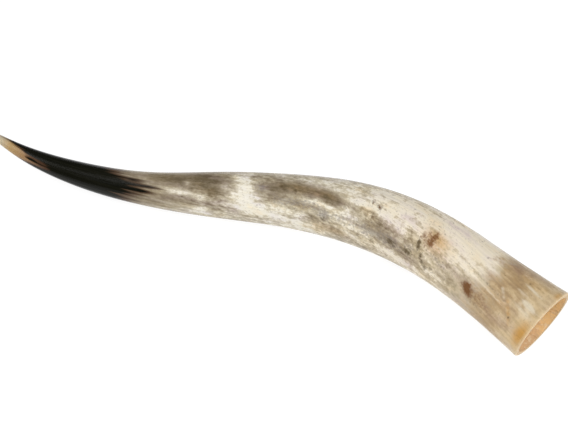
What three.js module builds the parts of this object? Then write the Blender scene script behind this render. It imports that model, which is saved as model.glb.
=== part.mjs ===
// A polished bull horn, sawn off at the head: one piece of horn, hollow from the
// sawn mouth inwards and solid towards the tip. Millimetres, +Z up.
// It lies on its side, as it does on a table. It rests on its neck, on the belly of
// its bow and on the sawn rim, and the tip curls up clear of the surface.
// +X runs along the horn from the tip to the mouth, and it bows towards +Y.

import * as THREE from "three";

// The horn's axis and half its width, from the centre of the rounded tip to the mouth.
// x is measured from the tip's end, y from the line that joins tip and mouth, and z
// from the surface that the horn lies on.
const STATIONS = [
  { place: "tip", x: 3, y: 0, z: 29.1, halfWidth: 3 },
  { place: "beak", x: 40, y: -6, z: 26.1, halfWidth: 6.9 },
  { place: "black end", x: 100, y: -4, z: 18.4, halfWidth: 12.2 },
  { place: "throat", x: 170, y: 6.5, z: 17.1, halfWidth: 16.8 },
  { place: "neck", x: 240, y: 24, z: 22.2, halfWidth: 22.7 },
  { place: "shoulder", x: 305, y: 40.5, z: 26.3, halfWidth: 26.2 },
  { place: "belly", x: 375, y: 50, z: 29.2, halfWidth: 30.4 },
  { place: "crown of the bow", x: 445, y: 43, z: 31, halfWidth: 32.2 },
  { place: "flank", x: 510, y: 21.5, z: 31.7, halfWidth: 33 },
  { place: "mouth", x: 563.5, y: -1, z: 34.4, halfWidth: 36.7 },
];

const MOUTH_FLATNESS = 0.94; // height over width at the mouth; the tip is round
const CUT_LEAN = THREE.MathUtils.degToRad(4); // how far the saw cut leans out at its top, off square
const CUT_FADE = 90; // length over which the rings lean over into the cut
const WALL = 5; // thickness of the wall at the mouth
const RIM_ROUNDING = 1.5; // radius of the rim's outer edge, worn round
const HOLLOW_DEPTH = 380; // how far the hollow reaches in from the mouth

const FACETS_ROUND = 36;
const OUTER_RINGS = 52;
const TIP_RINGS = 4;
const RIM_RINGS = 3;
const HOLLOW_RINGS = 22;

// A natural cubic spline: returns the function that gives the value and the slope at u.
function smoothThrough(knots, values) {
  const last = knots.length - 1;
  const step = knots.slice(1).map((knot, i) => knot - knots[i]);
  const bend = new Array(last + 1).fill(0);
  const diagonal = new Array(last + 1).fill(1);
  // Forward elimination of the tridiagonal system for the second derivatives.
  for (let i = 1; i < last; i++) {
    const rise = (values[i + 1] - values[i]) / step[i] - (values[i] - values[i - 1]) / step[i - 1];
    const factor = i > 1 ? step[i - 1] / diagonal[i - 1] : 0;
    diagonal[i] = 2 * (step[i - 1] + step[i]) - factor * (i > 1 ? step[i - 1] : 0);
    bend[i] = 6 * rise - factor * bend[i - 1];
  }
  for (let i = last - 1; i > 0; i--) {
    bend[i] = (bend[i] - step[i] * bend[i + 1]) / diagonal[i];
  }
  return (u) => {
    let i = 0;
    while (i < last - 1 && u > knots[i + 1]) i++;
    const h = step[i];
    const before = knots[i + 1] - u;
    const after = u - knots[i];
    const low = values[i] / h - (bend[i] * h) / 6;
    const high = values[i + 1] / h - (bend[i + 1] * h) / 6;
    const cubic = (bend[i] * before ** 3 + bend[i + 1] * after ** 3) / (6 * h);
    const slope = (bend[i + 1] * after ** 2 - bend[i] * before ** 2) / (2 * h);
    return { value: cubic + low * before + high * after, slope: slope + high - low };
  };
}

const places = STATIONS.map((s) => new THREE.Vector3(s.x, s.y, s.z));
const knots = [0];
for (let i = 1; i < places.length; i++) {
  knots.push(knots[i - 1] + places[i].distanceTo(places[i - 1]));
}
const LENGTH = knots[knots.length - 1];
const [axisX, axisY, axisZ, axisHalfWidth] = ["x", "y", "z", "halfWidth"].map((key) =>
  smoothThrough(knots, STATIONS.map((s) => s[key])),
);
const TIP_RADIUS = STATIONS[0].halfWidth;

// The axis at a distance u along it, with its directions: along, sideways and upwards.
// Past either end the axis runs on straight.
function axisAt(u) {
  const held = THREE.MathUtils.clamp(u, 0, LENGTH);
  const [x, y, z] = [axisX, axisY, axisZ].map((f) => f(held));
  const along = new THREE.Vector3(x.slope, y.slope, z.slope).normalize();
  const side = new THREE.Vector3(0, 0, 1).cross(along).normalize();
  const up = along.clone().cross(side);
  const centre = new THREE.Vector3(x.value, y.value, z.value).addScaledVector(along, u - held);
  return { centre, along, side, up };
}

// Half the width and half the height of the outside at a distance u along the axis.
function outsideAt(u) {
  const share = THREE.MathUtils.clamp(u / LENGTH, 0, 1);
  const halfWidth = axisHalfWidth(THREE.MathUtils.clamp(u, 0, LENGTH)).value;
  return { halfWidth, halfHeight: halfWidth * (1 - (1 - MOUTH_FLATNESS) * share) };
}

// One oval ring of points round the axis. Near the mouth the ring leans into the saw cut.
function ring(u, halfWidth, halfHeight) {
  const { centre, along, side, up } = axisAt(u);
  const lean = Math.tan(CUT_LEAN) * THREE.MathUtils.smoothstep(u, LENGTH - CUT_FADE, LENGTH);
  return Array.from({ length: FACETS_ROUND }, (_, k) => {
    const angle = (2 * Math.PI * k) / FACETS_ROUND;
    const upwards = halfHeight * Math.sin(angle);
    return centre
      .clone()
      .addScaledVector(side, halfWidth * Math.cos(angle))
      .addScaledVector(up, upwards)
      .addScaledVector(along, upwards * lean);
  });
}

// The rings of the whole skin in order: over the tip, along the outside, round the
// rim and back down the hollow to its end.
function skinRings() {
  const rings = [];
  for (let i = 1; i <= TIP_RINGS; i++) {
    const angle = ((Math.PI / 2) * i) / (TIP_RINGS + 1);
    const radius = TIP_RADIUS * Math.sin(angle);
    rings.push(ring(-TIP_RADIUS * Math.cos(angle), radius, radius));
  }
  const outsideEnd = LENGTH - RIM_ROUNDING;
  for (let i = 0; i <= OUTER_RINGS; i++) {
    const u = (outsideEnd * i) / OUTER_RINGS;
    const { halfWidth, halfHeight } = outsideAt(u);
    rings.push(ring(u, halfWidth, halfHeight));
  }
  const mouth = outsideAt(LENGTH);
  for (let i = 1; i <= RIM_RINGS; i++) {
    const angle = ((Math.PI / 2) * i) / RIM_RINGS;
    const inset = RIM_ROUNDING * (1 - Math.cos(angle));
    const u = outsideEnd + RIM_ROUNDING * Math.sin(angle);
    rings.push(ring(u, mouth.halfWidth - inset, mouth.halfHeight - inset));
  }
  for (let i = 0; i < HOLLOW_RINGS; i++) {
    const angle = ((Math.PI / 2) * i) / HOLLOW_RINGS;
    const u = LENGTH - HOLLOW_DEPTH * Math.sin(angle);
    const { halfWidth, halfHeight } = outsideAt(u);
    rings.push(ring(u, (halfWidth - WALL) * Math.cos(angle), (halfHeight - WALL) * Math.cos(angle)));
  }
  return rings;
}

// Closes the rings into one skin, with a point at the tip and one at the hollow's end.
function skin(rings, firstPoint, lastPoint) {
  const points = [firstPoint, ...rings.flat(), lastPoint];
  const faces = [];
  const corner = (i, k) => 1 + i * FACETS_ROUND + (k % FACETS_ROUND);
  for (let k = 0; k < FACETS_ROUND; k++) {
    faces.push(0, corner(0, k + 1), corner(0, k));
    for (let i = 0; i < rings.length - 1; i++) {
      faces.push(corner(i, k), corner(i, k + 1), corner(i + 1, k + 1));
      faces.push(corner(i, k), corner(i + 1, k + 1), corner(i + 1, k));
    }
    faces.push(corner(rings.length - 1, k), corner(rings.length - 1, k + 1), points.length - 1);
  }
  const geometry = new THREE.BufferGeometry().setFromPoints(points);
  geometry.setIndex(faces);
  return geometry;
}

const geometry = skin(
  skinRings(),
  axisAt(-TIP_RADIUS).centre,
  axisAt(LENGTH - HOLLOW_DEPTH).centre,
);

// The origin is the middle of the horn's footprint, on the surface that it lies on.
geometry.computeBoundingBox();
const { min, max } = geometry.boundingBox;
geometry.translate(-(min.x + max.x) / 2, -(min.y + max.y) / 2, -min.z);
geometry.computeVertexNormals();

const polishedHorn = new THREE.MeshStandardMaterial({ color: 0xb9a78c, roughness: 0.35, metalness: 0 });
const horn = new THREE.Mesh(geometry, polishedHorn);
horn.name = "horn";

const part = new THREE.Group();
part.add(horn);

export default part;
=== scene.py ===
import bpy
import numpy as np
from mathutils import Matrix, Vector


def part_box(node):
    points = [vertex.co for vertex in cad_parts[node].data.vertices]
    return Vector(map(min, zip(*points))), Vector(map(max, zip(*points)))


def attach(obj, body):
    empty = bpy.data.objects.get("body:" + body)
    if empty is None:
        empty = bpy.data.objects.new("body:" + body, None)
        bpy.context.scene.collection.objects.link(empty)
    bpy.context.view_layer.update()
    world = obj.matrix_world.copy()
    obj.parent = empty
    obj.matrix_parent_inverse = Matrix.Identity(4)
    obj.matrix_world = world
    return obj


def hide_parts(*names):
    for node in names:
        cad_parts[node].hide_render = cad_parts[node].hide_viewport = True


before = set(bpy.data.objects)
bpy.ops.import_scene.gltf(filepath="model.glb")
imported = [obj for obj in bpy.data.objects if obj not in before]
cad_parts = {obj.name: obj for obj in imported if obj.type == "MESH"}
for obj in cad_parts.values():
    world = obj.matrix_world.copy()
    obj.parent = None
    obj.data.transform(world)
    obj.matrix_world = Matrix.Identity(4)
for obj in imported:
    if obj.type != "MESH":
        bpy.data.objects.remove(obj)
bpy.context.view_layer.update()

METRE = 1000.0  # millimetres


# The view. The camera looks down on the horn from the inside of its bow, through a lens
# of 70 mm, and the horn lies across the whole width of the picture.
VIEW_AZIMUTH = np.radians(22.4)  # nought looks along +Y
VIEW_ELEVATION = np.radians(57.1)
VIEW_DISTANCE = 1080.2
VIEW_AIM = Vector((10.4, 18.2, 0.0))  # the point of the floor in the picture's middle
LENS = 70.1
SENSOR = 36.0

backwards = Vector((
    np.sin(VIEW_AZIMUTH) * np.cos(VIEW_ELEVATION),
    -np.cos(VIEW_AZIMUTH) * np.cos(VIEW_ELEVATION),
    np.sin(VIEW_ELEVATION),
))
camera = bpy.data.objects.new("camera", bpy.data.cameras.new("camera"))
camera.data.sensor_width = SENSOR
camera.data.lens = LENS
camera.location = (VIEW_AIM + backwards * VIEW_DISTANCE) / METRE
camera.rotation_euler = (-backwards).to_track_quat("-Z", "Y").to_euler()
bpy.context.scene.collection.objects.link(camera)
bpy.context.scene.camera = camera


# The horn's form. A bull's horn grows from its base as a sheath of keratin, in a shallow
# S that tapers to the tip. Scraping and polishing leave faint flats along it, and the
# saw leaves a flat oval rim round the hollow that the bone core filled.
STATIONS = np.array([
    # x, y, z of the axis, and half the width: from the tip to the mouth
    (3, 0, 29.1, 3),
    (40, -6, 26.1, 6.9),
    (100, -4, 18.4, 12.2),
    (170, 6.5, 17.1, 16.8),
    (240, 24, 22.2, 22.7),
    (305, 40.5, 26.3, 26.2),
    (375, 50, 29.2, 30.4),
    (445, 43, 31, 32.2),
    (510, 21.5, 31.7, 33),
    (563.5, -1, 34.4, 36.7),
])
MOUTH_FLATNESS = 0.94  # height over width at the mouth; the tip is round
CUT_LEAN = np.tan(np.radians(4))  # how far the saw cut leans out at its top, off square
CUT_FADE = 90.0  # length over which the rows lean over into the cut
WALL = 5.0
OUTER_EDGE = 1.5  # radius of the rim's outer edge, worn round
INNER_EDGE = 0.6
HOLLOW_DEPTH = 380.0
TIP_CLEARANCE = 0.02  # keeps the round tip inside the solid's faceted one
FLAT_DEPTH = 0.05
WAVE_DEPTH = 0.05
RIDGE_DEPTH = 0.13
ROUND = 156  # points round the horn
TIP_ROWS, OUTER_ROWS, EDGE_ROWS, RIM_ROWS, HOLLOW_ROWS = 10, 470, 6, 5, 100

steps = np.linalg.norm(np.diff(STATIONS[:, :3], axis=0), axis=1)
KNOTS = np.concatenate([[0.0], np.cumsum(steps)])
LENGTH = KNOTS[-1]


def smooth_through(u):
    """Natural cubic spline through the stations: between two of them the second derivative
    runs straight from one to the next, and it is nought at both ends. Returns the values
    and the slopes at the distances u along the axis."""
    gap = np.diff(KNOTS)
    inner = np.arange(1, len(KNOTS) - 1)
    system = np.eye(len(KNOTS))
    system[inner, inner - 1] = gap[:-1]
    system[inner, inner] = 2 * (gap[:-1] + gap[1:])
    system[inner, inner + 1] = gap[1:]
    right = np.zeros_like(STATIONS, dtype=float)
    right[1:-1] = 6 * np.diff(np.diff(STATIONS, axis=0) / gap[:, None], axis=0)
    bend = np.linalg.solve(system, right)
    i = np.clip(np.searchsorted(KNOTS, u, side="right") - 1, 0, len(gap) - 1)
    h = gap[i][:, None]
    before = (KNOTS[i + 1] - u)[:, None]
    after = (u - KNOTS[i])[:, None]
    low = STATIONS[i] / h - bend[i] * h / 6
    high = STATIONS[i + 1] / h - bend[i + 1] * h / 6
    cubic = (bend[i] * before**3 + bend[i + 1] * after**3) / (6 * h)
    values = cubic + low * before + high * after
    slopes = (bend[i + 1] * after**2 - bend[i] * before**2) / (2 * h) + high - low
    return values, slopes


def smoothstep(x, start, end):
    """Rises from 0 at start to 1 at end as three t squared minus two t cubed."""
    t = np.clip((x - start) / (end - start), 0, 1)
    return t * t * (3 - 2 * t)


# The rows of the skin in order: over the tip, along the outside, round the rim's edges
# and back down the hollow. Each row has its distance along the axis, how far it is inset
# from the outside, and a share that closes the round tip or the hollow's end.
tip_angle = np.linspace(0, np.pi / 2, TIP_ROWS + 2)[1:-1]
outer_angle = np.linspace(0, np.pi / 2, EDGE_ROWS + 1)[1:]
inner_angle = np.linspace(0, np.pi / 2, EDGE_ROWS + 1)
hollow_angle = np.arcsin(np.linspace(INNER_EDGE / HOLLOW_DEPTH, 1, HOLLOW_ROWS + 2)[1:-1] ** 0.8)
tip_radius = STATIONS[0, 3] - TIP_CLEARANCE
row_u = np.concatenate([
    -tip_radius * np.cos(tip_angle),
    np.linspace(0, LENGTH - OUTER_EDGE, OUTER_ROWS),
    LENGTH - OUTER_EDGE * (1 - np.sin(outer_angle)),
    np.full(RIM_ROWS, LENGTH),
    LENGTH - INNER_EDGE * (1 - np.cos(inner_angle)),
    LENGTH - HOLLOW_DEPTH * np.sin(hollow_angle),
])
row_inset = np.concatenate([
    np.zeros(TIP_ROWS + OUTER_ROWS),
    OUTER_EDGE * (1 - np.cos(outer_angle)),
    np.linspace(OUTER_EDGE, WALL - INNER_EDGE, RIM_ROWS + 2)[1:-1],
    WALL - INNER_EDGE * (1 - np.sin(inner_angle)),
    np.full(HOLLOW_ROWS, WALL),
])
row_share = np.concatenate([
    np.sin(tip_angle),
    np.ones(OUTER_ROWS + 2 * EDGE_ROWS + 1 + RIM_ROWS),
    np.cos(hollow_angle),
])
RIM_START = TIP_ROWS + OUTER_ROWS + EDGE_ROWS - 1
HOLLOW_START = RIM_START + RIM_ROWS + EDGE_ROWS + 1


def horn_skin(row_u, row_inset, row_share, turn):
    """A point of the skin is the axis, plus half the width times the cosine of the angle
    round it sideways, plus half the height times the sine upwards, and near the mouth it
    leans along the axis into the saw cut."""
    held = np.clip(row_u, 0, LENGTH)
    values, slopes = smooth_through(held)
    along = slopes[:, :3] / np.linalg.norm(slopes[:, :3], axis=1)[:, None]
    side = np.cross([0.0, 0.0, 1.0], along)
    side /= np.linalg.norm(side, axis=1)[:, None]
    up = np.cross(along, side)
    centre = values[:, :3] + along * (row_u - held)[:, None]
    width = values[:, 3]
    height = width * (1 - (1 - MOUTH_FLATNESS) * held / LENGTH)
    half_width = ((width - row_inset) * row_share)[:, None] + skin_relief(row_u, turn)
    half_height = ((height - row_inset) * row_share)[:, None] + skin_relief(row_u, turn)
    sideways = half_width * np.cos(turn)
    upwards = half_height * np.sin(turn)
    lean = (CUT_LEAN * smoothstep(row_u, LENGTH - CUT_FADE, LENGTH))[:, None]
    points = (
        centre[:, None]
        + sideways[..., None] * side[:, None]
        + upwards[..., None] * up[:, None]
        + (upwards * lean)[..., None] * along[:, None]
    )
    return points, width


def skin_relief(row_u, turn):
    """Flats from scraping are three cosines in the angle round, each drifting slowly along
    the horn, and growth waves are a cosine along it that comes in towards the mouth. Both
    fade out at the tip and at the saw cut. Down the hollow they are coarser ridges."""
    u = row_u[:, None]
    flats = (
        np.cos(9 * turn + u / 70)
        + 0.7 * np.cos(14 * turn - u / 45 + 1)
        + 0.5 * np.cos(23 * turn + u / 31)
        - 2.2  # the three heights together, so that the flats only go inwards
    )
    waves = (np.cos(u / 5.2 + 2 * np.sin(u / 37) + 0.6 * np.cos(turn)) - 1) * smoothstep(u, 330, 480)
    outside_fade = smoothstep(u, 5, 90) * (1 - smoothstep(u, LENGTH - 12, LENGTH - 2))
    outside = (FLAT_DEPTH * flats + WAVE_DEPTH * waves) * outside_fade
    ridges = (
        np.cos(31 * turn + u / 23)
        + np.cos(17 * turn - u / 15)
        + 0.8 * np.cos(u / 3.1 + 3 * np.cos(2 * turn))
    )
    inside_fade = (1 - smoothstep(u, LENGTH - 14, LENGTH - 2)) * smoothstep(u, LENGTH - HOLLOW_DEPTH, 260)
    inside = RIDGE_DEPTH * ridges * inside_fade
    in_hollow = (np.arange(len(row_u)) >= HOLLOW_START)[:, None]
    return np.where(in_hollow, inside, outside)


turn = np.linspace(0, 2 * np.pi, ROUND, endpoint=False)[None, :]
skin, width = horn_skin(row_u, row_inset, row_share, turn)
tip_point = skin[0].mean(axis=0)
points = np.concatenate([tip_point[None], skin.reshape(-1, 3), skin[-1].mean(axis=0)[None]])

# The horn lies where the solid does: its box is centred on the solid's and stands on the floor.
low, high = points.min(axis=0), points.max(axis=0)
solid_low, solid_high = (np.array(corner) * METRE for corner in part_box("horn"))
middle = (solid_low + solid_high) / 2 - (low + high) / 2
points += (middle[0], middle[1], solid_low[2] - low[2])

rows = len(row_u)
corner = 1 + np.arange(rows)[:, None] * ROUND + np.arange(ROUND)[None, :]
beside = np.roll(corner, -1, axis=1)
quads = np.stack([corner[:-1], beside[:-1], beside[1:], corner[1:]], axis=-1).reshape(-1, 4)
tip_fan = np.stack([np.zeros(ROUND, int), beside[0], corner[0]], axis=-1)
hollow_fan = np.stack([corner[-1], beside[-1], np.full(ROUND, len(points) - 1)], axis=-1)
faces = quads.tolist() + tip_fan.tolist() + hollow_fan.tolist()
mesh = bpy.data.meshes.new("horn_polished")
mesh.from_pydata((points / METRE).tolist(), [], faces)
mesh.shade_smooth()
horn = bpy.data.objects.new("horn_polished", mesh)
bpy.context.scene.collection.objects.link(horn)


# The horn's growth, kept on its points so that the colours follow it: the distance from
# the tip, and the place across a horn unbent and made 25 mm thick all along. Its fibres
# wind round it a little, as a horn twists while it grows.
STRAIGHT_RADIUS = 25.0
WINDING = np.radians(0.27)  # how far a fibre winds round the horn in each mm along it


def per_point(name, kind, grid):
    """Puts one number or vector on each point of the skin: the grid's, and at the two
    closing points the mean of the first and of the last row."""
    flat = grid.reshape(rows * ROUND, -1)
    ends = grid.reshape(rows, ROUND, -1)[[0, -1]].mean(axis=1)
    together = np.concatenate([ends[:1], flat, ends[1:]])
    key = "vector" if kind == "FLOAT_VECTOR" else "value"
    mesh.attributes.new(name, kind, "POINT").data.foreach_set(key, together.astype(np.float32).ravel())


fibre_turn = turn - WINDING * row_u[:, None]
depth_share = (width - row_inset) * row_share / width
across = STRAIGHT_RADIUS * depth_share[:, None]
u_grid = np.broadcast_to(row_u[:, None], (rows, ROUND))
unbent = np.stack([u_grid, across * np.cos(fibre_turn), across * np.sin(fibre_turn)], axis=-1)
per_point("growth", "FLOAT_VECTOR", unbent)

# The marks in the horn. Each is where pigment or clouded keratin lies: its distance from
# the tip in mm, its place round the horn in degrees (90 is on top, 0 on the outside of
# the bow and 180 on its inside), its length and width in mm, and its strength.
MILKY = [
    (268, 104, 24, 20, 0.7), (266, 136, 36, 34, 1.0), (288, 156, 44, 26, 0.9), (318, 170, 50, 16, 0.6),
    (264, 70, 20, 26, 0.9), (206, 123, 34, 6, 1.2), (212, 95, 7, 5, 1.0), (228, 132, 20, 7, 0.6),
    (228, 166, 12, 5, 0.5), (247, 102, 12, 6, 0.8), (204, 188, 60, 4, 0.6), (310, 141, 26, 8, 0.7),
    (336, 118, 60, 4, 0.9), (372, 120, 30, 7, 0.6), (376, 103, 26, 8, 0.7), (412, 112, 40, 8, 0.8),
    (360, 130, 26, 6, 0.6), (384, 150, 22, 6, 0.5), (222, 172, 60, 14, 1.0),
    (440, 76, 80, 30, 0.6), (496, 78, 44, 40, 1.1), (480, 60, 60, 18, 0.5), (400, 70, 60, 18, 0.5),
    (430, 172, 60, 8, 0.5), (486, 114, 36, 9, 0.6), (420, 88, 40, 4, 0.4), (462, 94, 50, 3, 0.5),
    (447, 104, 16, 6, 0.4), (380, 80, 100, 22, 0.5), (340, 74, 60, 14, 0.4),
]
TAUPE = [
    (188, 80, 44, 16, 0.8), (228, 82, 44, 26, 1.0), (240, 112, 30, 8, 0.6), (255, 84, 10, 8, 0.6),
    (280, 106, 14, 18, 0.7), (297, 108, 26, 26, 0.85), (304, 92, 18, 12, 0.5), (317, 98, 28, 18, 0.6),
    (338, 96, 50, 14, 1.0), (354, 106, 30, 10, 0.9), (338, 154, 22, 12, 0.4), (364, 164, 20, 12, 0.3),
    (176, 150, 60, 22, 0.4), (398, 131, 16, 6, 0.5), (424, 150, 60, 16, 0.5),
    (452, 148, 22, 20, 0.5), (486, 148, 26, 12, 0.5), (506, 100, 26, 3, 0.7), (484, 96, 22, 3, 0.4),
    (380, 92, 34, 6, 0.4),
]
BLUE_GREY = [
    (316, 124, 22, 10, 0.8), (336, 126, 24, 9, 0.9), (348, 142, 14, 12, 1.1), (366, 138, 22, 9, 0.7),
    (392, 143, 30, 12, 1.0), (416, 146, 36, 14, 1.1), (472, 137, 16, 7, 0.8), (284, 100, 12, 10, 0.7),
    (440, 140, 20, 8, 0.7), (300, 126, 14, 10, 0.6),
]
SMOKY = [
    (420, 148, 14, 7, 1.0), (439, 150, 11, 7, 1.0), (407, 147, 9, 4, 0.5), (303, 92, 5, 4, 0.9),
    (306, 101, 4, 3, 0.7), (316, 100, 5, 4, 0.9), (299, 121, 5, 3, 0.6), (398, 98, 6, 5, 0.9),
    (390, 92, 5, 4, 0.7), (395, 120, 5, 4, 0.8), (385, 160, 6, 4, 0.9), (401, 162, 8, 5, 0.8),
    (347, 146, 7, 5, 0.7), (446, 126, 5, 7, 1.1), (448, 135, 4, 6, 0.9), (453, 144, 5, 6, 0.9),
    (457, 153, 5, 5, 0.8), (462, 160, 6, 5, 0.8), (468, 155, 5, 4, 0.7), (209, 135, 9, 3, 0.7),
    (549, 78, 2.6, 2.6, 1.0), (551, 132, 2.4, 2.4, 0.7), (554, 140, 2.6, 2.6, 1.0),
    (496, 111, 44, 1.6, 0.55), (528, 121, 44, 1.6, 0.55), (500, 96, 40, 1.4, 0.4),
    (282, 168, 3, 4, 0.6), (366, 116, 6, 4, 0.5),
]
RUST = [
    (447, 112, 5, 8, 0.8), (451, 117, 5, 5, 0.6), (456, 117, 6, 7, 1.3), (457, 101, 4, 9, 1.0),
    (455, 109, 5, 5, 0.6), (451, 105, 4, 4, 0.5), (461, 108, 8, 10, 0.35), (451, 126, 5, 6, 0.35),
    (398, 97, 6, 5, 0.8), (391, 91, 5, 5, 0.6), (396, 119, 4, 6, 0.6), (455, 109, 16, 22, 0.25),
    (506, 141, 10, 9, 1.35), (510, 150, 9, 8, 1.0), (515, 157, 8, 7, 0.55), (523, 149, 30, 18, 0.5),
]
HALO = [
    (460, 110, 36, 24, 0.75), (572, 150, 16, 32, 1.15), (574, 66, 8, 14, 0.8),
    (545, 121, 5, 4, 0.6), (549, 128, 6, 4, 0.6), (552, 135, 5, 4, 0.7), (555, 142, 5, 4, 0.6),
    (557, 149, 5, 4, 0.5), (541, 130, 14, 6, 0.4),
    (356, 166, 50, 14, 0.4), (330, 96, 70, 12, 0.3), (548, 74, 44, 18, 0.3),
]
PALE_STREAKS = [
    (534, 110, 5, 4, 0.7), (537, 115, 5, 4, 0.65), (540, 120, 5, 3, 0.6), (553, 117, 24, 5, 0.4),
    (561, 108, 20, 5, 1.0), (555, 85, 22, 4, 0.9), (528, 127, 50, 2, 0.7), (564, 118, 20, 14, 0.5),
    (552, 96, 30, 4, 0.4), (470, 119, 70, 2, 0.7), (545, 152, 30, 4, 0.4), (524, 160, 30, 5, 0.4),
    (530, 138, 26, 3, 0.35),
    (540, 68, 24, 3, 0.4), (548, 98, 16, 3, 0.5),
]
angle_of = np.degrees(turn)
mm_per_degree = width[:, None] * np.radians(1)


def lying_at(marks):
    """Adds up soft ovals that lie along the fibres: each is its strength times e to the
    power of minus the square of the distance along over half its length, minus that of
    the distance round over half its width."""
    field = np.zeros((rows, ROUND))
    for place, angle, length, breadth, strength in marks:
        followed = np.degrees(WINDING) * (u_grid - place)
        round_it = ((angle_of - angle - followed + 180) % 360 - 180) * mm_per_degree
        apart = ((u_grid - place) / (length / 2)) ** 2 + (round_it / (breadth / 2)) ** 2
        field += strength * np.exp(-apart)
    return field


# The side that the horn lies on and its far side have marks of the same kinds, strewn.
STREWN_ANGLES = (222, 385)
strewn = np.random.default_rng(11)


def strewn_marks(count, along, length, breadth, strength):
    """Marks at random places on the far and lower sides, of random size within a range."""
    return list(zip(
        strewn.uniform(*along, count),
        strewn.uniform(*STREWN_ANGLES, count),
        strewn.uniform(*length, count),
        strewn.uniform(*breadth, count),
        strewn.uniform(*strength, count),
    ))


KINDS_OF_MARK = [
    # name, the marks above, how many are strewn, and their places, lengths, widths and strengths
    ("milky", MILKY, 20, (190, 510), (20, 60), (8, 26), (0.5, 1)),
    ("taupe", TAUPE, 18, (150, 470), (20, 60), (8, 22), (0.5, 1)),
    ("blue_grey", BLUE_GREY, 12, (290, 490), (14, 32), (7, 13), (0.6, 1)),
    ("smoky", SMOKY, 22, (280, 560), (3, 12), (3, 6), (0.5, 1)),
    ("rust", RUST, 3, (400, 530), (6, 12), (5, 8), (0.7, 1.1)),
    ("halo", HALO, 5, (360, 570), (20, 46), (10, 20), (0.4, 0.8)),
    ("pale_streak", PALE_STREAKS, 6, (470, 570), (14, 30), (2, 4), (0.6, 1)),
]
for name, marks, *strewn_kind in KINDS_OF_MARK:
    per_point(name, "FLOAT", lying_at(marks + strewn_marks(*strewn_kind)))

# The clear base starts at a slanting line round the horn: how far a point is past it, in mm.
# On top of the horn it starts sharply, and inside its bow it comes in slowly.
TAN_START = 515.0
TAN_SLANT = 4.0
TAN_TONGUES = [
    (508, 146, 44, 20, 10), (512, 66, 14, 10, 5), (524, 96, 24, 8, -6), (522, 122, 30, 7, -8),
    (520, 166, 40, 10, -8),
]
tan_start = TAN_START + TAN_SLANT * np.cos(np.radians(angle_of - 85))
slowness = 1 - 0.55 * smoothstep(angle_of, 108, 140) * (1 - smoothstep(angle_of, 230, 290))
per_point("tan_from", "FLOAT", (u_grid - tan_start + lying_at(TAN_TONGUES)) * slowness)

# Inside, the wall on the side that the horn lies on is a greyer, pinkish tan with more pale flakes: 1 at
# its middle.
LOW_WALL_MIDDLE = 240  # degrees round the horn
low_wall = np.cos(np.radians(angle_of - LOW_WALL_MIDDLE))
per_point("low_wall", "FLOAT", np.broadcast_to(low_wall, (rows, ROUND)))

# The black end starts and stops on a slant: how far a point is inside it, in mm. Fingers
# of pigment reach on from it along the fibres. Its two ends are pairs of the angle round
# the horn and the distance from the tip.
FINGERS = [(160, 98, 18, 5, 12), (180, 116, 38, 3.2, 30), (170, 131, 26, 3.4, 20), (166, 141, 24, 5, 9)]
TIP_FINGERS = [(49, 110, 26, 3, 22), (51, 137, 15, 3, 26), (33, 84, 14, 2.5, 6)]
BLACK_STARTS = [
    (0, 26), (60, 22), (84, 31), (98, 46), (107, 59), (128, 66), (150, 68), (166, 62), (180, 46),
    (260, 34), (360, 26),
]
BLACK_STOPS = [
    (0, 128), (60, 130), (84, 138), (100, 153), (120, 158), (140, 156), (158, 150), (180, 147),
    (230, 143), (360, 128),
]
black_start = np.interp(angle_of, *zip(*BLACK_STARTS))
black_stop = np.interp(angle_of, *zip(*BLACK_STOPS))
per_point("black_from", "FLOAT", u_grid - black_start + lying_at(TIP_FINGERS))
per_point("black_until", "FLOAT", black_stop - u_grid + lying_at(FINGERS))


def linear(hex_colour):
    """An sRGB hex colour as linear red, green, blue and alpha."""
    srgb = np.array([int(hex_colour[i:i + 2], 16) for i in (1, 3, 5)]) / 255
    low_part = srgb / 12.92
    high_part = ((srgb + 0.055) / 1.055) ** 2.4
    return (*np.where(srgb <= 0.04045, low_part, high_part), 1.0)


def add(tree, kind, inputs, **settings):
    """Adds a node with its settings. Each input is a value, or a socket to link from."""
    made = tree.nodes.new("ShaderNode" + kind)
    for name, value in settings.items():
        setattr(made, name, value)
    for key, value in inputs.items():
        if isinstance(value, bpy.types.NodeSocket):
            tree.links.new(value, made.inputs[key])
        else:
            made.inputs[key].default_value = value
    return made


def new_material(name):
    """An empty material: its tree, its Principled shader and the growth of the horn."""
    material = bpy.data.materials.new(name)
    material.use_nodes = True
    tree = material.node_tree
    shader = tree.nodes["Principled BSDF"]
    growth = add(tree, "Attribute", {}, attribute_name="growth").outputs["Vector"]
    return material, tree, shader, growth


def grain(tree, growth, length, breadth, detail, shift=0.0):
    """Noise whose spots are that long and broad in mm, lengthwise along the horn."""
    spots = (1 / length, 1 / breadth, 1 / breadth)
    moved = (shift, shift, shift)
    stretched = add(tree, "VectorMath", {0: growth, 1: spots, 2: moved}, operation="MULTIPLY_ADD")
    noise = add(tree, "TexNoise", {
        "Vector": stretched.outputs[0], "Scale": 1.0, "Detail": detail, "Roughness": 0.62,
    })
    return noise.outputs["Fac"]


def edged(tree, field, noise, ragged, start, end):
    """A mask that is 0 where the field is under start and 1 over end, after the noise has
    moved the field up or down by half of ragged at most."""
    shift = add(tree, "Math", {0: noise, 1: ragged, 2: -ragged / 2}, operation="MULTIPLY_ADD").outputs[0]
    moved = add(tree, "Math", {0: field, 1: shift}, operation="ADD").outputs[0]
    ramp = add(tree, "MapRange", {0: moved, 1: start, 2: end}, interpolation_type="SMOOTHSTEP")
    return ramp.outputs[0]


def over(tree, below, colour, mask):
    """One colour laid over another where the mask is 1."""
    return add(tree, "Mix", {0: mask, 6: below, 7: colour}, data_type="RGBA").outputs[2]


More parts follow.
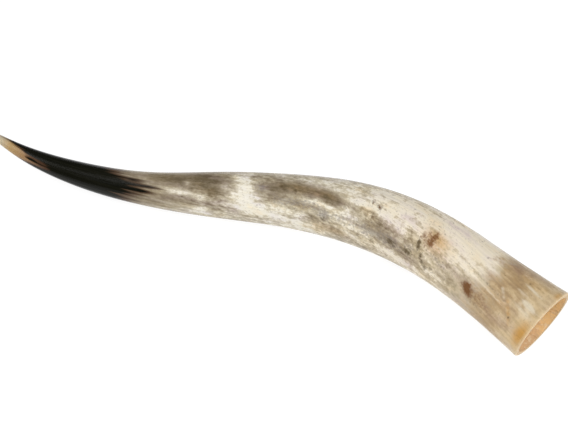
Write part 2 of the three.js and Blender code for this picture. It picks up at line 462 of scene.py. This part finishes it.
def tinted(tree, colour, tint, amount):
    """One colour multiplied by another, as far as the amount says."""
    settings = {"data_type": "RGBA", "blend_type": "MULTIPLY"}
    return add(tree, "Mix", {0: amount, 6: colour, 7: tint}, **settings).outputs[2]


def scaled(tree, value, factor, offset=0.0):
    """A value times a factor plus an offset."""
    return add(tree, "Math", {0: value, 1: factor, 2: offset}, operation="MULTIPLY_ADD").outputs[0]


def total(tree, first, *others):
    """The sum of several values."""
    for other in others:
        first = add(tree, "Math", {0: first, 1: other}, operation="ADD").outputs[0]
    return first


def product(tree, first, second):
    """One value times another."""
    return add(tree, "Math", {0: first, 1: second}, operation="MULTIPLY").outputs[0]


def toned(tree, tone, stops):
    """The colour that a tone has on a ramp of hex colours, each at its place on it."""
    ramp = add(tree, "ValToRGB", {0: tone})
    for k, (position, colour) in enumerate(stops):
        stop = ramp.color_ramp.elements[k] if k < 2 else ramp.color_ramp.elements.new(position)
        stop.position = position
        stop.color = linear(colour)
    return ramp.outputs["Color"]


# Polished horn: keratin in long fibres, clear where it is tan, clouded where it is milky
# and black where it holds pigment. Buffing gives it a satin gloss, in which the fibres
# still show as fine streaks.
HORN_IOR = 1.54
polished, tree, shader, growth = new_material("polished_keratin")
place = add(tree, "SeparateXYZ", {0: growth}).outputs[0]
along = scaled(tree, place, 1 / LENGTH)
fibres = grain(tree, growth, 60, 1.3, 3)
streaks = grain(tree, growth, 90, 4.0, 4, 3.1)
clouds = grain(tree, growth, 46, 16, 4, 7.7)
mottle = grain(tree, growth, 11, 6.0, 6, 1.9)
fleck = grain(tree, growth, 3.6, 2.0, 4, 9.2)
crumbs = grain(tree, growth, 2.4, 1.4, 3, 4.6)
FIELDS = (
    "milky", "taupe", "blue_grey", "smoky", "rust", "halo", "pale_streak",
    "tan_from", "black_from", "black_until",
)
field = {name: add(tree, "Attribute", {}, attribute_name=name).outputs["Fac"] for name in FIELDS}
broken = total(tree, scaled(tree, mottle, 0.6), scaled(tree, fleck, 0.4))
crumbled = total(tree, scaled(tree, mottle, 0.35), scaled(tree, crumbs, 0.65))

# How milky the keratin is, from clear brown at 0 to white at 1, along the horn and then
# with its marks. It is mottled most in the middle of the horn.
MILKINESS = [
    (0, 0.3), (120, 0.36), (170, 0.46), (240, 0.46), (290, 0.56), (340, 0.64), (400, 0.7),
    (450, 0.8), (520, 0.78),
]
MOTTLING = [(0, 0.1), (150, 0.35), (200, 0.55), (250, 0.9), (430, 1.0), (490, 0.75), (530, 0.35)]


def level_along(tree, along, levels):
    """A value that runs straight from one level to the next along the horn."""
    curve = add(tree, "FloatCurve", {"Value": along})
    points = curve.mapping.curves[0].points
    ends = [*levels, (LENGTH, levels[-1][1])]
    for k, (distance, level) in enumerate(ends):
        point = points[k] if k < 2 else points.new(distance / LENGTH, level)
        point.location = (distance / LENGTH, level)
        point.handle_type = "VECTOR"
    curve.mapping.update()
    return curve.outputs[0]


uneven = total(
    tree,
    scaled(tree, mottle, 1.6, -0.8),
    scaled(tree, fleck, 1.1, -0.55),
    scaled(tree, streaks, 1.2, -0.6),
    scaled(tree, clouds, 0.8, -0.4),
)
calm = add(tree, "MapRange", {0: field["taupe"], 1: 0.2, 2: 1.2, 3: 1.0, 4: 0.45}).outputs[0]
MARK_WEIGHT = 0.42  # how much a mark of strength 1 adds to the milkiness or takes from it
milkiness = total(
    tree,
    level_along(tree, along, MILKINESS),
    product(tree, product(tree, uneven, calm), level_along(tree, along, MOTTLING)),
    scaled(tree, field["milky"], MARK_WEIGHT),
    scaled(tree, field["taupe"], -MARK_WEIGHT),
)
colour = toned(tree, milkiness, [
    (0.0, "#6b5f4a"), (0.15, "#81745e"), (0.35, "#998c77"), (0.6, "#baaf9a"), (0.82, "#d8cfbb"),
    (1.0, "#f3eee2"),
])


def marked(colour, mark, shade, noise, ragged, start, end, cover):
    """The colour with a mark's shade laid over it, as far as cover says, where the mark's field
    is over its ragged edge."""
    mask = edged(tree, field[mark], noise, ragged, start, end)
    return over(tree, colour, linear(shade), scaled(tree, mask, cover))


colour = marked(colour, "blue_grey", "#948e8a", crumbled, 4.5, 0.2, 1.2, 0.65)
warmth = add(tree, "MapRange", {0: place, 1: 320.0, 2: 460.0}, interpolation_type="SMOOTHSTEP").outputs[0]
colour = tinted(tree, colour, linear("#fcf6ee"), warmth)
tip_colour = toned(tree, along, [
    (0.0, "#cac4b6"), (16 / LENGTH, "#bcad92"), (26 / LENGTH, "#b29566"), (44 / LENGTH, "#9c7c5a"),
    (64 / LENGTH, "#77604e"),
])
colour = over(tree, tip_colour, colour, edged(tree, place, broken, 30.0, 96.0, 126.0))

# The clear tan base begins at a ragged line across the horn.
tan_base = edged(tree, field["tan_from"], broken, 60.0, -9.0, 9.0)
TAN_CLEARNESS = [(0, 0.36), (517, 0.36), (545, 0.46), (566, 0.85)]
clearness = total(
    tree,
    level_along(tree, along, TAN_CLEARNESS),
    scaled(tree, mottle, 1.5, -0.75),
    scaled(tree, streaks, 1.3, -0.65),
    scaled(tree, fleck, 0.5, -0.25),
)
tan_colour = toned(tree, clearness, [(0.0, "#9a7f5f"), (0.45, "#b59a75"), (0.9, "#d6c09b")])
colour = over(tree, colour, tan_colour, scaled(tree, tan_base, 0.94))

# Everywhere the keratin drifts a little between lilac, plain and straw-coloured.
hue = grain(tree, growth, 26, 12, 3, 6.2)
tints = toned(tree, hue, [(0.3, "#f2edf5"), (0.45, "#fffefd"), (0.58, "#fffdf6"), (0.72, "#fff6e6")])
colour = tinted(tree, colour, tints, 1.0)
colour = marked(colour, "halo", "#cb9748", broken, 0.9, 0.05, 1.25, 0.9)
colour = marked(colour, "pale_streak", "#e8dcc4", broken, 1.2, 0.2, 1.0, 0.8)
colour = marked(colour, "smoky", "#5c4e38", crumbled, 2.4, 0.15, 1.05, 0.9)
colour = marked(colour, "rust", "#70441f", crumbled, 3.2, 0.1, 1.4, 0.9)

# The black end, with a fringe of brown where the pigment thins out along the fibres.
tip_flow = grain(tree, growth, 34, 8.0, 4, 8.8)
flow = grain(tree, growth, 60, 3.6, 5, 5.3)
begins = edged(tree, field["black_from"], tip_flow, 36.0, -2.0, 4.0)
stops = edged(tree, field["black_until"], flow, 46.0, -2.0, 8.0)
begins_brown = edged(tree, field["black_from"], tip_flow, 44.0, -15.0, -1.0)
stops_brown = edged(tree, field["black_until"], flow, 46.0, -24.0, 1.0)
black = product(tree, begins, stops)
fringe = scaled(tree, product(tree, begins_brown, stops_brown), 0.88)
colour = over(tree, colour, linear("#3e2616"), fringe)
sheen_streaks = scaled(tree, total(tree, streaks, fibres), 1.5, -1.1)
black_keratin = over(tree, linear("#070803"), linear("#1b1a10"), sheen_streaks)
colour = over(tree, colour, black_keratin, black)

# Light comes in through the sawn edge and makes the last millimetres paler.
edge_range = {0: place, 1: LENGTH - 3.5, 2: LENGTH - 0.5}
lit_edge = add(tree, "MapRange", edge_range, interpolation_type="SMOOTHSTEP").outputs[0]
colour = over(tree, colour, linear("#dcc39a"), scaled(tree, lit_edge, 0.6))

# The fibres lighten and darken everything a little, lengthwise.
shade = add(tree, "MapRange", {0: fibres, 1: 0.3, 2: 0.7, 3: 0.92, 4: 1.07}).outputs[0]
shaded = add(tree, "VectorMath", {0: colour, 3: shade}, operation="SCALE").outputs[0]
tree.links.new(shaded, shader.inputs["Base Color"])
rough = add(tree, "MapRange", {0: mottle, 1: 0.3, 2: 0.7, 3: 0.2, 4: 0.31}).outputs[0]
tree.links.new(rough, shader.inputs["Roughness"])
bump = add(tree, "Bump", {"Height": total(tree, fibres, mottle), "Strength": 0.25, "Distance": 0.0003})
tree.links.new(bump.outputs[0], shader.inputs["Normal"])
shader.inputs["IOR"].default_value = HORN_IOR
shader.inputs["Specular IOR Level"].default_value = 0.13

# The sawn rim: the cut goes across the layers that the horn grew in, which show as fine
# pale and tan rings, and the saw leaves it duller than the polished outside.
sawn, tree, shader, growth = new_material("sawn_keratin")
axes = add(tree, "SeparateXYZ", {0: growth}).outputs
flat_place = add(tree, "CombineXYZ", {"Y": axes[1], "Z": axes[2]}).outputs[0]
radius = add(tree, "VectorMath", {0: flat_place}, operation="LENGTH").outputs["Value"]
LAYER = 0.5  # thickness of one layer
wobble = grain(tree, growth, 8, 8, 3)
layered = add(tree, "Math", {0: wobble, 1: 1.4, 2: radius}, operation="MULTIPLY_ADD").outputs[0]
layered = add(tree, "Math", {0: layered, 1: 2 * np.pi / LAYER}, operation="MULTIPLY").outputs[0]
rings = add(tree, "Math", {0: layered}, operation="SINE").outputs[0]
rings = add(tree, "MapRange", {0: rings, 1: -1.0, 2: 1.0, 3: 0.2, 4: 0.8}).outputs[0]
tree.links.new(over(tree, linear("#cdb388"), linear("#b8966a"), rings), shader.inputs["Base Color"])
shader.inputs["Roughness"].default_value = 0.5
shader.inputs["IOR"].default_value = HORN_IOR

# Inside the hollow: never polished, with lengthwise ridges and brown traces of what
# joined the horn to the bone, on a honey-coloured wall, with painted shade deeper in.
inside, tree, shader, growth = new_material("raw_keratin_inside")
ridges = grain(tree, growth, 40, 1.6, 4)
flakes = grain(tree, growth, 4.0, 2.4, 4, 2.2)
stains = grain(tree, growth, 24, 9, 4, 4.4)
low_wall = add(tree, "Attribute", {}, attribute_name="low_wall").outputs["Fac"]
colour = over(tree, linear("#f6cf92"), linear("#dcb98d"), edged(tree, low_wall, stains, 1.2, 0.5, 0.75))
ridge_shade = scaled(tree, edged(tree, ridges, stains, 0.5, 0.5, 0.75), 0.55)
colour = over(tree, colour, linear("#c39a68"), ridge_shade)
scurf = product(tree, edged(tree, flakes, stains, 0.3, 0.5, 0.62), scaled(tree, low_wall, 0.4, 0.4))
colour = over(tree, colour, linear("#f0dcba"), scurf)
# Painted shade: the wall darkens to dark brown deeper into the hollow, most on the side that the horn
# lies on.
depth = scaled(tree, add(tree, "SeparateXYZ", {0: growth}).outputs[0], -1.0, LENGTH)
depth_shade_mask = edged(tree, depth, flakes, 40.0, 4.0, 46.0)
deep_painted_shade = product(tree, depth_shade_mask, scaled(tree, low_wall, 0.35, 0.3))
colour = over(tree, colour, linear("#8c6544"), deep_painted_shade)
tree.links.new(colour, shader.inputs["Base Color"])
bump = add(tree, "Bump", {"Height": total(tree, ridges, flakes), "Strength": 0.4, "Distance": 0.0006})
tree.links.new(bump.outputs[0], shader.inputs["Normal"])
shader.inputs["Roughness"].default_value = 0.65
shader.inputs["IOR"].default_value = HORN_IOR

for material in (polished, sawn, inside):
    mesh.materials.append(material)
quad_row = np.repeat(np.arange(rows - 1), ROUND)
finish_of = np.where(quad_row < RIM_START, 0, np.where(quad_row < HOLLOW_START, 1, 2))
finish_of = np.concatenate([finish_of, np.zeros(ROUND, int), np.full(ROUND, 2)])
mesh.polygons.foreach_set("material_index", finish_of.astype(np.int32))

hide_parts("horn")
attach(horn, "root")


# The studio: a plain white floor that glows a little, as a light table does, so that
# shadows stay faint, and two large soft boxes at the horn's two ends in a dim room.
FLOOR_SIZE = 30000.0
FLOOR_GLOW = 0.89
FLOOR_SHADE = 0.2
ROOM_LIGHT = 0.12
SOFT_BOX_SIZE = 1500.0
SOFT_BOX_PLACES = [Vector((-1500.0, -400.0, 1260.0)), Vector((1500.0, -400.0, 1260.0))]
SOFT_BOX_WATTS = 30.0
half = FLOOR_SIZE / 2 / METRE
floor_mesh = bpy.data.meshes.new("floor")
floor_corners = [(-half, -half, 0), (half, -half, 0), (half, half, 0), (-half, half, 0)]
floor_mesh.from_pydata(floor_corners, [], [(0, 1, 2, 3)])
floor = bpy.data.objects.new("floor", floor_mesh)
bpy.context.scene.collection.objects.link(floor)
white_floor = bpy.data.materials.new("white_floor")
white_floor.use_nodes = True
floor_shader = white_floor.node_tree.nodes["Principled BSDF"]
floor_shader.inputs["Base Color"].default_value = (FLOOR_SHADE, FLOOR_SHADE, FLOOR_SHADE, 1)
floor_shader.inputs["Roughness"].default_value = 0.9
floor_shader.inputs["Specular IOR Level"].default_value = 0.1
floor_shader.inputs["Emission Color"].default_value = (1, 1, 1, 1)
floor_shader.inputs["Emission Strength"].default_value = FLOOR_GLOW
floor_mesh.materials.append(white_floor)

for box_place in SOFT_BOX_PLACES:
    soft_box = bpy.data.objects.new("soft_box", bpy.data.lights.new("soft_box", "AREA"))
    soft_box.data.size = SOFT_BOX_SIZE / METRE
    soft_box.data.energy = SOFT_BOX_WATTS
    soft_box.location = box_place / METRE
    soft_box.rotation_euler = (-box_place).to_track_quat("-Z", "Y").to_euler()
    bpy.context.scene.collection.objects.link(soft_box)
room = bpy.data.worlds.new("room")
room.use_nodes = True
room.node_tree.nodes["Background"].inputs["Color"].default_value = (1, 1, 1, 1)
room.node_tree.nodes["Background"].inputs["Strength"].default_value = ROOM_LIGHT
bpy.context.scene.world = room
bpy.context.scene.view_settings.view_transform = "Standard"
